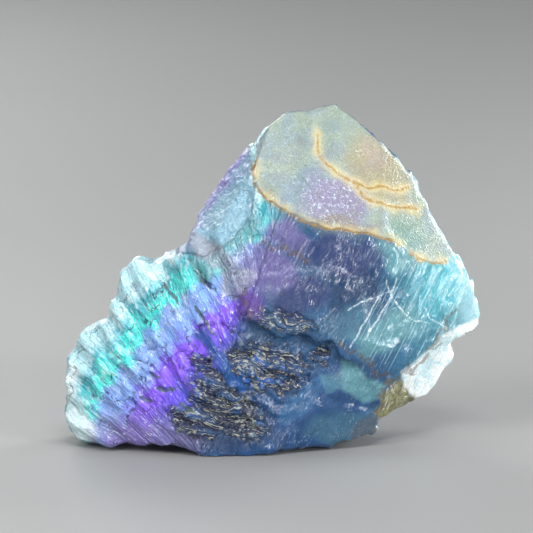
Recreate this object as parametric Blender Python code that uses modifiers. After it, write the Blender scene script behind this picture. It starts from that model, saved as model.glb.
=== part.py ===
# A hand specimen of banded fluorite, broken from a vein, resting on its flat base.
# X runs to the right across the front, Y from front to back, Z up. Outlines and points are in
# millimetres, as a caliper would read them, and MM turns them into metres.

import math

import bmesh
import bpy
from mathutils import Matrix, Vector, noise

MM = 0.001

# The voxel joins the blocks into one lump of rock. The lump is then thinned to this many triangles.
VOXEL = 0.75
TRIANGLES = 7600

# Every block is cut from a slab this deep, far beyond the rock on both sides.
SLAB_DEPTH = 60.0
BELOW_BASE = -2.0

# The outer edge of the ribbed arm on the left, seen from the front, from the base to its shoulder.
ARM_EDGE = (
    (-12.0, BELOW_BASE), (-15.0, 0.4), (-20.0, 1.7), (-29.0, 1.8), (-37.0, 0.6), (-40.1, 1.0),
    (-42.2, 2.1), (-43.3, 4.5), (-44.1, 8.1), (-44.3, 10.0), (-43.5, 13.1), (-44.2, 14.4),
    (-43.8, 17.4), (-42.5, 20.6), (-41.4, 22.4), (-39.5, 24.8), (-37.6, 25.8), (-34.6, 26.8),
    (-34.2, 30.3), (-32.9, 31.6), (-33.2, 33.6), (-31.5, 35.0), (-32.2, 36.3), (-30.9, 38.4),
    (-29.1, 39.5), (-26.0, 39.4), (-24.6, 39.2), (-22.9, 40.6), (-19.9, 40.8), (-18.7, 42.3),
    (-16.8, 44.9), (-15.6, 47.5),
)
ARM_OUTLINE = ARM_EDGE + ((-8.0, 42.0), (-2.0, 24.0), (2.0, BELOW_BASE))

# The whole rock: the arm on the left, the tall block on the right.
BODY_OUTLINE = ARM_EDGE + (
    (-15.9, 48.9), (-14.1, 51.4), (-11.9, 54.5), (-9.5, 58.1),
    (-7.0, 61.1), (-4.6, 63.8), (-3.2, 65.3), (-0.9, 67.8), (2.1, 70.1), (5.2, 70.7),
    (7.6, 70.3), (10.1, 71.1), (12.8, 71.5), (15.0, 70.9), (18.7, 67.7), (24.8, 62.2),
    (29.7, 56.5), (30.9, 53.2), (32.7, 52.1), (33.3, 49.4), (35.2, 45.9), (37.6, 42.5),
    (40.1, 39.7), (41.9, 36.6), (42.5, 33.5), (40.0, 30.5), (36.6, 25.6), (31.5, 19.5),
    (26.9, 15.4), (23.2, 13.6), (22.6, 5.2), (21.1, 2.6), (18.0, 1.4), (12.0, BELOW_BASE),
)

# The tall block's front face stands proud of the rest as one cleaved layer.
FACE_OUTLINE = (
    (-13.5, 46.6), (-11.0, 43.2), (-10.6, 40.6), (-8.2, 38.9), (-8.6, 35.4), (-6.0, 33.4),
    (-6.4, 29.6), (-3.2, 27.6), (1.5, 24.6), (6.5, 25.6), (9.6, 23.2), (12.2, 24.4),
    (14.4, 20.6), (18.7, 18.2), (22.6, 14.6), (27.0, 15.0), (37.2, 24.2), (40.6, 30.4),
    (42.4, 33.5), (41.8, 36.6), (40.0, 39.7), (37.5, 42.5), (35.1, 45.9), (33.2, 49.4),
    (24.0, 62.0), (-5.0, 66.0), (-16.0, 49.0),
)

# A thinner layer on the upper right of the sloping top face.
TOP_LAYER_OUTLINE = (
    (10.0, 71.0), (9.4, 67.5), (8.8, 63.6), (10.6, 60.6), (14.2, 58.3), (17.2, 56.6),
    (19.0, 54.2), (21.5, 52.4), (26.0, 51.8), (32.4, 51.4), (30.9, 53.2), (29.7, 56.5),
    (24.8, 62.2), (18.7, 67.7), (15.0, 70.9), (12.8, 71.5),
)
TOP_LAYER_RISE = 1.1

# The thin flange behind the lower right edge, and the small brown wedge under it.
FLANGE_OUTLINE = (
    (36.0, 36.0), (42.6, 34.5), (43.6, 30.2), (44.5, 27.0), (44.3, 24.4), (42.4, 23.0),
    (38.4, 21.4), (37.5, 20.1), (39.0, 18.9), (37.7, 16.9), (36.2, 15.7), (34.9, 12.9),
    (33.6, 11.4), (32.2, 9.9), (29.6, 9.7), (25.5, 12.0), (26.0, 22.0), (32.0, 32.0),
)
WEDGE_OUTLINE = (
    (19.0, 16.0), (25.0, 16.6), (28.4, 14.0), (29.8, 9.6), (25.4, 7.0), (22.4, 5.4), (18.0, 6.0),
)

# Faces broken or cleaved across the blocks. Each is three points that lie on it.
BASE = ((0, 0, 0), (10, 0, 0), (0, 10, 0))
RIGHT_UNDERSIDE = ((11.0, -10.0, 0.0), (11.0, 10.0, 0.0), (21.0, 0.0, 2.9))
FRONT_UNDERSIDE = ((-8.0, -17.5, 0.0), (12.0, 0.0, 0.0), (12.0, -9.3, 1.5))
FRONT = ((-9.5, -18.0, 0.0), (5.0, -11.2, 51.0), (22.0, -10.4, 47.0))
FRONT_RIGHT = ((27.5, -10.0, 44.0), (19.5, -14.0, 25.0), (42.0, -1.5, 34.0))
LOWER_RIGHT = ((-9.5, -17.8, 0.0), (20.0, -6.5, 2.0), (10.5, -15.8, 19.5))
TOP_LEFT = ((-4.0, -11.0, 58.8), (5.5, -10.9, 51.2), (8.0, 5.0, 70.5))
TOP_RIGHT = ((5.5, -10.9, 51.2), (25.0, -9.9, 46.6), (14.0, 8.0, 71.5))
TOP_CORNER = ((28.0, -7.5, 44.0), (37.5, -1.5, 41.0), (31.0, 3.0, 54.0))
LEFT_BEVEL = ((-4.0, -11.0, 58.8), (-12.0, -12.9, 46.5), (-15.4, 2.5, 48.5))
BACK = ((-10.0, 16.0, 4.0), (20.0, 15.0, 4.0), (8.0, 14.5, 48.0))
BACK_TOP = ((-6.0, 13.0, 50.0), (22.0, 14.0, 45.0), (12.0, 9.0, 71.0))
BACK_RIGHT = ((21.0, 15.2, 12.0), (19.0, 14.4, 46.0), (43.0, 4.5, 30.0))
BACK_LOWER_RIGHT = ((15.0, 15.0, 3.0), (27.0, 13.0, 22.0), (24.0, 7.0, 5.0))
ARM_FRONT = ((-9.5, -17.2, 3.0), (-43.0, -7.5, 6.0), (-28.0, -10.0, 38.0))
ARM_BACK = ((-14.0, 16.0, 4.0), (-43.0, 7.5, 6.0), (-28.0, 9.5, 38.0))
FLANGE_FRONT = ((30.0, -0.6, 12.0), (40.0, 1.4, 20.0), (40.0, 0.2, 34.0))
FLANGE_BACK = ((26.0, 12.5, 20.0), (34.0, 8.4, 12.0), (43.0, 8.0, 30.0))
WEDGE_FRONT = ((22.0, -5.5, 7.0), (29.0, -0.5, 10.0), (24.0, -4.6, 15.0))
LAYER_THICKNESS = 2.4

# Growth went outwards from a centre low on the right. The arm thins towards its grown edge.
GROWTH_CENTRE = (42.0, -30.0)
THINNING_FROM, THINNING_TO = 84.0, 99.0
GROWN_EDGE_THICKNESS = 0.5

# The growth ribs of the arm fan out from a point below the rock. The edges between them are
# angles about that point, measured from +X towards +Z, and each rib swells to its own share.
RIB_CENTRE = (16.0, -31.0)
RIB_EDGES = (110.5, 115.2, 120.2, 123.6, 127.4, 131.2, 134.8, 138.2, 141.6, 145.0, 149.5, 156.0)
RIB_SHARES = (0.6, 1.0, 0.8, 1.1, 0.7, 1.0, 0.8, 1.0, 0.75, 1.0, 0.8)
RIB_CRESTS = (0.6, 0.35, 0.6, 0.4, 0.65, 0.45, 0.35, 0.6, 0.4, 0.55, 0.5)
RIB_STEEPNESS = 0.52
RIB_INNER, RIB_OUTER = 42.0, 62.0
RIB_LEDGE = 7.5
RIB_WANDER, RIB_WANDER_SIZE = 1.4, 11.0
RIB_SHARE_AT_RIM = 0.4

# The arm ends along a leaning line: at this height it lies between these two places.
ARM_REACH = (-4.0, -16.0)
ARM_REACH_HEIGHT = 20.0
ARM_LEAN = 0.33

# Broken surfaces are made of chips: cells of this size, each tilted its own way. The cleaved
# faces and the ribbed arm are calmer.
CHIP_SIZE = 14.0
CHIP_TILT = 0.16
FINE_CHIP_SIZE = 5.0
FINE_CHIP_TILT = 0.12
CALM_CHIPS = 0.22
RIM_CHIPS = 0.5
CHIP_SEED = 3

# Stacked broken ledges low on the front, between the face layer and the base.
LEDGE_ZONE = (-5.0, 12.5)
LEDGE_ZONE_REACH = (14.5, 9.0)
LEDGE_SPACING = 3.1
LEDGE_LENGTH = 5.0
LEDGE_DEPTH = 1.5
LEDGE_SLOPE = -0.22
LEDGE_WAVE, LEDGE_WAVE_SIZE = 2.6, 6.5

# Finish of the rock: pale blue-violet, glassy where it is cleaved.
ROCK_COLOUR = (0.30, 0.45, 0.72, 1.0)
ROCK_ROUGHNESS = 0.28
REFRACTIVE_INDEX = 1.434


def clear_scene():
    for old in list(bpy.data.objects):
        bpy.data.objects.remove(old)


def new_collection(name):
    collection = bpy.data.collections.new(name)
    bpy.context.scene.collection.children.link(collection)
    return collection


def smooth_step(low, high, value):
    share = min(1.0, max(0.0, (value - low) / (high - low)))
    return share * share * (3.0 - 2.0 * share)


def slab_mesh(name, outline):
    """A closed slab with this outline, standing upright, as a bmesh in millimetres."""
    curve = bpy.data.curves.new(name, "CURVE")
    curve.dimensions = "2D"
    curve.fill_mode = "BOTH"
    curve.extrude = SLAB_DEPTH / 2
    spline = curve.splines.new("POLY")
    spline.points.add(len(outline) - 1)
    for point, (x, z) in zip(spline.points, outline):
        point.co = (x, z, 0.0, 1.0)
    spline.use_cyclic_u = True
    guide = bpy.data.objects.new(name, curve)
    bpy.context.scene.collection.objects.link(guide)
    graph = bpy.context.evaluated_depsgraph_get()
    mesh = bpy.data.meshes.new_from_object(guide.evaluated_get(graph))
    bpy.data.objects.remove(guide)
    slab = bmesh.new()
    slab.from_mesh(mesh)
    bpy.data.meshes.remove(mesh)
    bmesh.ops.transform(slab, matrix=Matrix.Rotation(math.pi / 2, 4, "X"), verts=slab.verts)
    bmesh.ops.remove_doubles(slab, verts=slab.verts, dist=0.001)
    bmesh.ops.recalc_face_normals(slab, faces=slab.faces)
    return slab


def cleave(block, plane, keep, push=0.0):
    """Breaks the block along the plane and keeps the side that holds the point keep.

    push moves the plane outwards, away from that point, in millimetres.
    """
    first, second, third = (Vector(point) for point in plane)
    outward = (second - first).cross(third - first).normalized()
    if outward.dot(Vector(keep) - first) > 0.0:
        outward = -outward
    cut = bmesh.ops.bisect_plane(
        block,
        geom=block.verts[:] + block.edges[:] + block.faces[:],
        plane_co=first + outward * push,
        plane_no=outward,
        clear_outer=True,
    )
    rim = [item for item in cut["geom_cut"] if isinstance(item, bmesh.types.BMEdge)]
    if rim:
        bmesh.ops.holes_fill(block, edges=rim, sides=0)
    return block


def block_of(name, outline, planes, keep):
    """A slab with this outline, broken along each of the planes in turn."""
    block = slab_mesh(name, outline)
    for plane, push in planes:
        cleave(block, plane, keep, push)
    bmesh.ops.recalc_face_normals(block, faces=block.faces)
    return block


def body(top_face):
    """The whole rock behind its front layer, under one of the two halves of its top face."""
    planes = (
        (FRONT, -LAYER_THICKNESS), (FRONT_RIGHT, -LAYER_THICKNESS), (LOWER_RIGHT, 0.0),
        (top_face, 0.0), (TOP_CORNER, 0.0), (LEFT_BEVEL, 0.0),
        (BACK, 0.0), (BACK_TOP, 0.0), (BACK_RIGHT, 0.0), (BACK_LOWER_RIGHT, 0.0),
        (ARM_FRONT, 0.0), (ARM_BACK, 0.0), (RIGHT_UNDERSIDE, 0.0), (FRONT_UNDERSIDE, 0.0),
    )
    return block_of("body", BODY_OUTLINE, planes, (5.0, 0.0, 25.0))


def arm():
    """The ribbed arm, which reaches past the plane of the tall block's left bevel."""
    planes = (
        (ARM_FRONT, 0.0), (ARM_BACK, 0.0), (FRONT, -LAYER_THICKNESS), (BACK, 0.0),
        (FRONT_UNDERSIDE, 0.0),
    )
    return block_of("arm", ARM_OUTLINE, planes, (-20.0, 0.0, 20.0))


def face_layer(top_face):
    """The proud front layer of the tall block, under the same half of the top face."""
    planes = (
        (FRONT, 0.0), (FRONT_RIGHT, 0.0), (LOWER_RIGHT, 0.0), (FRONT_UNDERSIDE, 0.0),
        (top_face, 0.0), (TOP_CORNER, 0.0), (LEFT_BEVEL, 0.0),
    )
    inner = (10.0, -3.0, 35.0)
    layer = block_of("face_layer", FACE_OUTLINE, planes, inner)
    behind = ((0, -1, 0), (10, -1, 0), (0, -1, 10))
    cleave(layer, behind, (10.0, -30.0, 35.0))
    return layer


def top_layer():
    """The thin layer that lies on the upper right of the sloping top face."""
    planes = (
        (TOP_LEFT, TOP_LAYER_RISE), (TOP_RIGHT, TOP_LAYER_RISE), (TOP_CORNER, 0.3),
        (BACK_TOP, 0.0), (BACK_RIGHT, 0.0), (BACK, 0.0),
    )
    return block_of("top_layer", TOP_LAYER_OUTLINE, planes, (20.0, 3.0, 55.0))


def flange():
    """The thin flange behind the lower right edge."""
    planes = ((FLANGE_FRONT, 0.0), (FLANGE_BACK, 0.0))
    return block_of("flange", FLANGE_OUTLINE, planes, (33.0, 4.0, 20.0))


def wedge():
    """The small wedge between the tall block and the flange."""
    planes = ((WEDGE_FRONT, 0.0), (BACK_LOWER_RIGHT, -1.0))
    return block_of("wedge", WEDGE_OUTLINE, planes, (22.0, 2.0, 12.0))


def joined(blocks):
    """All the blocks in one bmesh, still overlapping."""
    whole = bmesh.new()
    for block in blocks:
        mesh = bpy.data.meshes.new("block")
        block.to_mesh(mesh)
        block.free()
        whole.from_mesh(mesh)
        bpy.data.meshes.remove(mesh)
    return whole


def evaluated_mesh(bm, name, kind, **settings):
    """The bmesh after one modifier with these settings, as a new bmesh."""
    mesh = bpy.data.meshes.new(name)
    bm.to_mesh(mesh)
    bm.free()
    holder = bpy.data.objects.new(name, mesh)
    bpy.context.scene.collection.objects.link(holder)
    modifier = holder.modifiers.new(kind.lower(), kind)
    for key, value in settings.items():
        setattr(modifier, key, value)
    graph = bpy.context.evaluated_depsgraph_get()
    result = bpy.data.meshes.new_from_object(holder.evaluated_get(graph))
    bpy.data.objects.remove(holder)
    bpy.data.meshes.remove(mesh)
    out = bmesh.new()
    out.from_mesh(result)
    bpy.data.meshes.remove(result)
    return out


def chip_relief(place, size, tilt):
    """Height of a surface broken into tilted chips, each cell of one size tilted its own way."""
    scaled = place / size
    centre = noise.voronoi(scaled)[1][0]
    lean = noise.noise_vector(centre * 3.7 + Vector((5.1, 1.3, 8.9)))
    return size * tilt * lean.dot(scaled - centre) * 2.0


def arm_share(x, z):
    """How fully a point belongs to the ribbed arm: 1 on the arm, 0 on the tall block."""
    along = x - ARM_LEAN * (z - ARM_REACH_HEIGHT)
    return 1.0 - smooth_step(ARM_REACH[1], ARM_REACH[0], along)


def rib_relief(x, z):
    """Height of the growth ribs: sharp crests that fan out, broken by ledges across them."""
    dx, dz = x - RIB_CENTRE[0], z - RIB_CENTRE[1]
    radius = math.hypot(dx, dz)
    wander = noise.noise(Vector((x, z, 3.0)) / RIB_WANDER_SIZE) * RIB_WANDER
    angle = math.degrees(math.atan2(dz, dx)) + wander
    if not RIB_EDGES[0] < angle < RIB_EDGES[-1]:
        return 0.0
    index = max(i for i, edge in enumerate(RIB_EDGES) if edge <= angle)
    low, high = RIB_EDGES[index], RIB_EDGES[index + 1]
    share = (angle - low) / (high - low)
    crest = RIB_CRESTS[index]
    roof = share / crest if share < crest else (1.0 - share) / (1.0 - crest)
    width = math.radians(high - low) * radius
    step = math.floor(radius / RIB_LEDGE + 0.37 * index)
    ledge = 0.9 + 0.1 * noise.cell(Vector((index + 0.5, step + 0.5, 0.5)))
    fade = smooth_step(RIB_INNER, RIB_OUTER, radius)
    return RIB_STEEPNESS * width * RIB_SHARES[index] * ledge * fade * (roof - 0.5)


def ledge_share(x, z):
    """How fully a point belongs to the zone of stacked ledges low on the front."""
    across = (x - LEDGE_ZONE[0]) / LEDGE_ZONE_REACH[0]
    up = (z - LEDGE_ZONE[1]) / LEDGE_ZONE_REACH[1]
    return 1.0 - smooth_step(0.55, 1.0, math.hypot(across, up))


def ledge_relief(place):
    """Depth of the stacked ledges: a staircase going up the front, wavy and broken."""
    wave = noise.noise(place / LEDGE_WAVE_SIZE) * LEDGE_WAVE
    level = (place.z - LEDGE_SLOPE * place.x + wave) / LEDGE_SPACING
    step = level - math.floor(level)
    block = Vector((math.floor(level), math.floor(place.x / LEDGE_LENGTH), 0.5))
    broken = 0.6 + 0.4 * noise.cell(block)
    return LEDGE_DEPTH * broken * (0.5 - step)


def relief(place, normal):
    """Height that the broken surface adds to the plain blocks at this place."""
    x, z = place.x, place.z
    arm = arm_share(x, z)
    front = smooth_step(0.2, 0.7, -normal.y)
    top = smooth_step(0.35, 0.6, normal.z) * smooth_step(-0.1, 0.2, -normal.y)
    rim = smooth_step(0.45, 0.9, math.hypot(normal.x, normal.z))
    calm = max(front, top, arm)
    chips = (1.0 - (1.0 - CALM_CHIPS) * calm) * (1.0 - (1.0 - RIM_CHIPS) * rim)
    height = chip_relief(place, CHIP_SIZE, CHIP_TILT) * chips
    height += chip_relief(place, FINE_CHIP_SIZE, FINE_CHIP_TILT) * chips
    height += rib_relief(x, z) * arm * (1.0 - (1.0 - RIB_SHARE_AT_RIM) * rim)
    return height + ledge_relief(place) * ledge_share(x, z) * front


def thin_arm(rock):
    """Pinches the arm towards the middle of its depth, near the edge that grew freely."""
    for vert in rock.verts:
        x, z = vert.co.x, vert.co.z
        grown = math.hypot(x - GROWTH_CENTRE[0], z - GROWTH_CENTRE[1])
        share = smooth_step(THINNING_FROM, THINNING_TO, grown) * arm_share(x, z)
        vert.co.y *= 1.0 - (1.0 - GROWN_EDGE_THICKNESS) * share
    return rock


def break_surface(rock):
    """Gives the plain blocks their ribs, ledges and chips."""
    rock.normal_update()
    moves = [(v, v.normal * relief(v.co, v.normal)) for v in rock.verts]
    for vert, move in moves:
        vert.co += move
    return rock


def largest_body(rock):
    """Drops any crumb that the chips or the base left apart from the rock."""
    unseen = set(rock.verts)
    bodies = []
    while unseen:
        body_verts, front = set(), [unseen.pop()]
        while front:
            vert = front.pop()
            body_verts.add(vert)
            for edge in vert.link_edges:
                other = edge.other_vert(vert)
                if other in unseen:
                    unseen.remove(other)
                    front.append(other)
        bodies.append(body_verts)
    bodies.sort(key=len)
    crumbs = [vert for body_verts in bodies[:-1] for vert in body_verts]
    bmesh.ops.delete(rock, geom=crumbs, context="VERTS")
    return rock


def centre_on_base(rock):
    """Puts the origin under the middle of the rock's box."""
    xs = [v.co.x for v in rock.verts]
    ys = [v.co.y for v in rock.verts]
    middle = Vector(((min(xs) + max(xs)) / 2, (min(ys) + max(ys)) / 2, 0.0))
    bmesh.ops.translate(rock, vec=-middle, verts=rock.verts)
    return rock


def fluorite_material():
    """Glassy blue-violet fluorite."""
    material = bpy.data.materials.new("fluorite")
    material.use_nodes = True
    shader = material.node_tree.nodes["Principled BSDF"]
    shader.inputs["Base Color"].default_value = ROCK_COLOUR
    shader.inputs["Roughness"].default_value = ROCK_ROUGHNESS
    shader.inputs["IOR"].default_value = REFRACTIVE_INDEX
    return material


def fluorite():
    """The whole specimen, one solid."""
    noise.seed_set(CHIP_SEED)
    blocks = [arm(), flange(), wedge(), top_layer()]
    for top_face in (TOP_LEFT, TOP_RIGHT):
        blocks += [body(top_face), face_layer(top_face)]
    whole = joined(blocks)
    rock = evaluated_mesh(whole, "lump", "REMESH", mode="VOXEL", voxel_size=VOXEL, adaptivity=0.0)
    thin_arm(rock)
    break_surface(rock)
    ratio = TRIANGLES / (2.0 * len(rock.faces))
    rock = evaluated_mesh(rock, "thinned", "DECIMATE", ratio=ratio, use_collapse_triangulate=True)
    cleave(rock, BASE, (0.0, 0.0, 30.0))
    largest_body(rock)
    centre_on_base(rock)
    bmesh.ops.scale(rock, vec=(MM, MM, MM), verts=rock.verts)
    bmesh.ops.recalc_face_normals(rock, faces=rock.faces)
    mesh = bpy.data.meshes.new("fluorite")
    rock.to_mesh(mesh)
    rock.free()
    mesh.materials.append(fluorite_material())
    return bpy.data.objects.new("fluorite", mesh)


def main():
    clear_scene()
    collection = new_collection("fluorite_specimen")
    collection.objects.link(fluorite())


main()
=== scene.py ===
import math

import bmesh
import bpy
import numpy as np
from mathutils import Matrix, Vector


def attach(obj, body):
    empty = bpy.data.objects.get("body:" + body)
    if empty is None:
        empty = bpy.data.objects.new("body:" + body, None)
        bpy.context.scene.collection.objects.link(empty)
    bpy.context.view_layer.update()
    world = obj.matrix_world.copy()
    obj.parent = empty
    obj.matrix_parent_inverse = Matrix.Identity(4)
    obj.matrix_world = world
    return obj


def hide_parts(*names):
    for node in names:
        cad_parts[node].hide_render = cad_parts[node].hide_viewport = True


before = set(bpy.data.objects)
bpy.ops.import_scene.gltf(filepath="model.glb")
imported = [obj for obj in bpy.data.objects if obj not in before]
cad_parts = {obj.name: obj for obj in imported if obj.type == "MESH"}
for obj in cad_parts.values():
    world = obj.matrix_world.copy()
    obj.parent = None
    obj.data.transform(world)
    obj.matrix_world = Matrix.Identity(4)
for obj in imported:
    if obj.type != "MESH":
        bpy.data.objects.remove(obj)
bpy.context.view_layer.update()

mm = 0.001

# The camera looks at the front from a little above. The picture is about 114 mm wide at the rock.
cameraView = {
    "elevation": 8.0,  # degrees
    "distance": 500.0,  # mm
    "target": (-1.4, 0.0, 37.8),  # mm
    "lens": 158.5,
    "opticalAxis": (-1.28, 40.8),  # where the optical axis falls in the front view's coordinates, mm
}

# Places in the front view are (across, up) in millimetres, as the camera sees them: across is
# measured from the middle of the rock, and up from its lowest point.
rock = {
    "voxel": 0.44,
    "smoothing": 4,
    "growthCentre": (41.8, -30.0),
    "ribCentre": (15.8, -31.0),
    "sharpAngle": 42.0,
}

# Sizes of the relief that the broken and grown surface carries, in millimetres. Columns and ledges are
# rows of long blocks, each broken off at its own height. The other kinds are small leaning facets.
reliefSizes = {
    "columnWidth": 2.1,  # columns along the ribs of the arm
    "columnLength": 11.0,
    "columnRise": 0.24,
    "needleWidth": 0.95,  # finer rows on the columns
    "needleLength": 4.2,
    "needleRise": 0.12,
    "ledgeWidth": 1.2,  # broken ledges low on the front
    "ledgeLength": 4.5,
    "ledgeRise": 0.9,
    "panelWidth": 2.6,  # long flat panels of the block's front and right
    "panelLength": 9.0,
    "panelRise": 0.3,
    "chipSize": 4.6,  # chips of the broken sides and back
    "chipRise": 1.1,
    "scaleSize": 1.5,  # scales of the left bevel
    "scaleRise": 0.22,
    "crackDepth": 0.5,
    "grain": 0.12,
    "armSoftening": 14,  # rounds of blur on the arm's shape, and then on the relief
    "softening": 1,
    "cavityReach": 6,  # rounds of blur between the relief and its mean height around a point
    "seed": 4.0,
}
wholeSizes = ("armSoftening", "softening", "cavityReach")

# How the directed places are laid: directions of the front in degrees above level, how far places
# are stirred as pairs of noise scale and reach, and how the hair lines are stretched in each zone.
directions = {
    "panel": 64.0,
    "ledge": -16.0,
    "stripe": 63.0,
    "fanSpread": 68.0,  # mm across per radian round the rib centre
    "bend": ((0.1, 3.5), (0.6, 0.5)),
    "panelBend": ((0.1, 3.0),),
    "ledgeBend": ((0.16, 6.0), (0.9, 0.6)),
    "panelLines": (1.3, 0.6, 0.2),
    "armLines": (1.0, 0.4, 0.14),
    "ledgeLines": (1.5, 0.7, 0.17),
    "skinLines": 0.5,
    "panelDepth": 6.0,  # mm, front to back of one panel
    "slowNoise": (0.25, 0.17),  # scales of the noises that tone and clusters follow
    "raggedEnds": 4.0,  # mm, how unevenly blocks are broken off
}


# Helpers for node trees: a Wire is a value on its way through a tree, so formulas read as formulas.
class Wire:
    def __init__(self, tree, socket):
        self.tree, self.socket = tree, socket

    def maths(self, kind, *others, clamp=False):
        node = self.tree.nodes.new("ShaderNodeMath")
        node.operation, node.use_clamp = kind, clamp
        for slot, value in zip(node.inputs, (self, *others)):
            feed(self.tree, value, slot)
        return Wire(self.tree, node.outputs[0])

    def __add__(self, other):
        return self.maths("ADD", other)

    def __sub__(self, other):
        return self.maths("SUBTRACT", other)

    def __rsub__(self, other):
        return self.maths("MULTIPLY", -1.0) + other

    def __mul__(self, other):
        return self.maths("MULTIPLY", other)

    def __truediv__(self, other):
        return self.maths("DIVIDE", other)

    def step(self, low, high):  # smooth step from low to high
        return ranged(self, low, high, 0.0, 1.0, "SMOOTHSTEP")


def feed(tree, value, socket):
    if isinstance(value, Wire):
        tree.links.new(value.socket, socket)
    else:
        socket.default_value = value


def addNode(tree, kind, inputs=None, **settings):
    node = tree.nodes.new(kind)
    for key, value in settings.items():
        setattr(node, key, value)
    for key, value in (inputs or {}).items():
        feed(tree, value, node.inputs[key])
    return node


def out(node, key=0):
    return Wire(node.id_data, node.outputs[key])


def ranged(wire, low, high, start, end, kind="LINEAR"):
    node = addNode(wire.tree, "ShaderNodeMapRange", interpolation_type=kind)
    for slot, value in zip(node.inputs, (wire, low, high, start, end)):
        feed(wire.tree, value, slot)
    return out(node)


def joinXyz(tree, x, y, z):
    return out(addNode(tree, "ShaderNodeCombineXYZ", {"X": x, "Y": y, "Z": z}))


def splitXyz(wire):
    node = addNode(wire.tree, "ShaderNodeSeparateXYZ", {0: wire})
    return out(node, "X"), out(node, "Y"), out(node, "Z")


def vectorMaths(kind, first, second=None, output="Vector"):
    node = addNode(first.tree, "ShaderNodeVectorMath", operation=kind)
    for slot, value in zip(node.inputs, (first, second)):
        if value is not None:
            feed(first.tree, value, slot)
    return out(node, output)


def scaled(vector, factor):
    node = addNode(vector.tree, "ShaderNodeVectorMath", {0: vector, "Scale": factor}, operation="SCALE")
    return out(node, "Vector")


def noiseOf(vector, scale, detail):
    node = addNode(vector.tree, "ShaderNodeTexNoise", {"Vector": vector, "Scale": scale, "Detail": detail})
    return out(node, 0)


def stretchedNoise(vector, stretch, detail):
    return noiseOf(vectorMaths("MULTIPLY", vector, stretch), 1.0, detail)


def stirred(place, bends):  # the place moved about by up to half of each reach, smoothly
    for scale, reach in bends:
        node = addNode(place.tree, "ShaderNodeTexNoise", {"Vector": place, "Scale": scale, "Detail": 3.0})
        shift = vectorMaths("SUBTRACT", out(node, "Color"), (0.5, 0.5, 0.5))
        place = vectorMaths("ADD", place, scaled(shift, reach))
    return place


def cellsOf(vector):  # the nearest cell: its random colour and its centre
    node = addNode(vector.tree, "ShaderNodeTexVoronoi", {"Vector": vector, "Scale": 1.0})
    return out(node, "Color"), out(node, "Position")


def randomOf(tree, first, second):  # one random number from 0 to 1 for each pair of whole numbers
    pair = joinXyz(tree, first, second, 0.5)
    node = addNode(tree, "ShaderNodeTexWhiteNoise", {"Vector": pair}, noise_dimensions="3D")
    return out(node, "Value")


# Plain mesh work
def copyOfNode(name):
    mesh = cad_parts[name].data.copy()
    mesh.materials.clear()
    shape = bmesh.new()
    shape.from_mesh(mesh)
    bmesh.ops.remove_doubles(shape, verts=shape.verts, dist=0.01 * mm)
    bmesh.ops.recalc_face_normals(shape, faces=shape.faces)
    shape.to_mesh(mesh)
    shape.free()
    piece = bpy.data.objects.new("fluoriteRock", mesh)
    bpy.context.scene.collection.objects.link(piece)
    return piece


def bakeModifiers(piece):  # the shape that the modifiers give becomes the piece's own mesh
    graph = bpy.context.evaluated_depsgraph_get()
    mesh = bpy.data.meshes.new_from_object(piece.evaluated_get(graph))
    piece.modifiers.clear()
    old, piece.data = piece.data, mesh
    bpy.data.meshes.remove(old)
    return piece


def fineSkin(piece):
    remesh = piece.modifiers.new("fine", "REMESH")
    remesh.mode, remesh.voxel_size = "VOXEL", rock["voxel"] * mm
    smooth = piece.modifiers.new("soften", "SMOOTH")
    smooth.factor, smooth.iterations = 0.5, rock["smoothing"]
    bakeModifiers(piece)
    print("fine skin:", len(piece.data.polygons), "faces")
    return piece


def smoothStep(low, high, value):
    share = np.clip((value - low) / (high - low), 0.0, 1.0)
    return share * share * (3.0 - 2.0 * share)


def meshArrays(mesh):
    places = np.empty(len(mesh.vertices) * 3, np.float32)
    mesh.vertices.foreach_get("co", places)
    normals = np.empty(len(mesh.vertices) * 3, np.float32)
    mesh.vertices.foreach_get("normal", normals)
    return places.reshape(-1, 3) / mm, normals.reshape(-1, 3)


def frontView(places):  # (across, up) of each place in the front view, in millimetres
    rise = math.radians(cameraView["elevation"])
    ahead = np.array([0.0, math.cos(rise), -math.sin(rise)])
    upward = np.array([0.0, math.sin(rise), math.cos(rise)])
    offset = places - np.array(cameraView["target"])
    near = cameraView["distance"] / (cameraView["distance"] + offset @ ahead)
    across = offset[:, 0] * near + cameraView["opticalAxis"][0]
    up = offset @ upward * near + cameraView["opticalAxis"][1]
    return np.stack([across, up], axis=1)


def pathDistance(seen, path):  # from each place in the front view to the nearest stretch of the path
    nearest = np.full(len(seen), 1e3)
    for start, end in zip(path[:-1], path[1:]):
        start, run = np.array(start), np.array(end) - np.array(start)
        along = np.clip((seen - start) @ run / (run @ run), 0.0, 1.0)
        gap = np.linalg.norm(seen - start - along[:, None] * run, axis=1)
        nearest = np.minimum(nearest, gap)
    return nearest


def inside(seen, outline):  # 1 inside the outline, 0 outside
    held = np.zeros(len(seen), bool)
    x, y = seen[:, 0], seen[:, 1]
    for (x0, y0), (x1, y1) in zip(outline, outline[1:] + outline[:1]):
        crosses = (y0 > y) != (y1 > y)
        where = (x1 - x0) * (y - y0) / ((y1 - y0) or 1e-9) + x0
        held ^= crosses & (x < where)
    return held.astype(float)


def softInside(seen, outline, border):  # as inside, fading over the border's width
    signed = pathDistance(seen, list(outline) + [outline[0]]) * (2.0 * inside(seen, outline) - 1.0)
    return smoothStep(-border, border, signed)


def blobShare(seen, centre, reach, turn=0.0):  # 1 in the middle of a leaning oval, 0 outside it
    a = math.radians(turn)
    gap = seen - np.array(centre)
    along = (gap[:, 0] * math.cos(a) + gap[:, 1] * math.sin(a)) / reach[0]
    over = (gap[:, 1] * math.cos(a) - gap[:, 0] * math.sin(a)) / reach[1]
    return 1.0 - smoothStep(0.3, 1.1, np.hypot(along, over))


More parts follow.
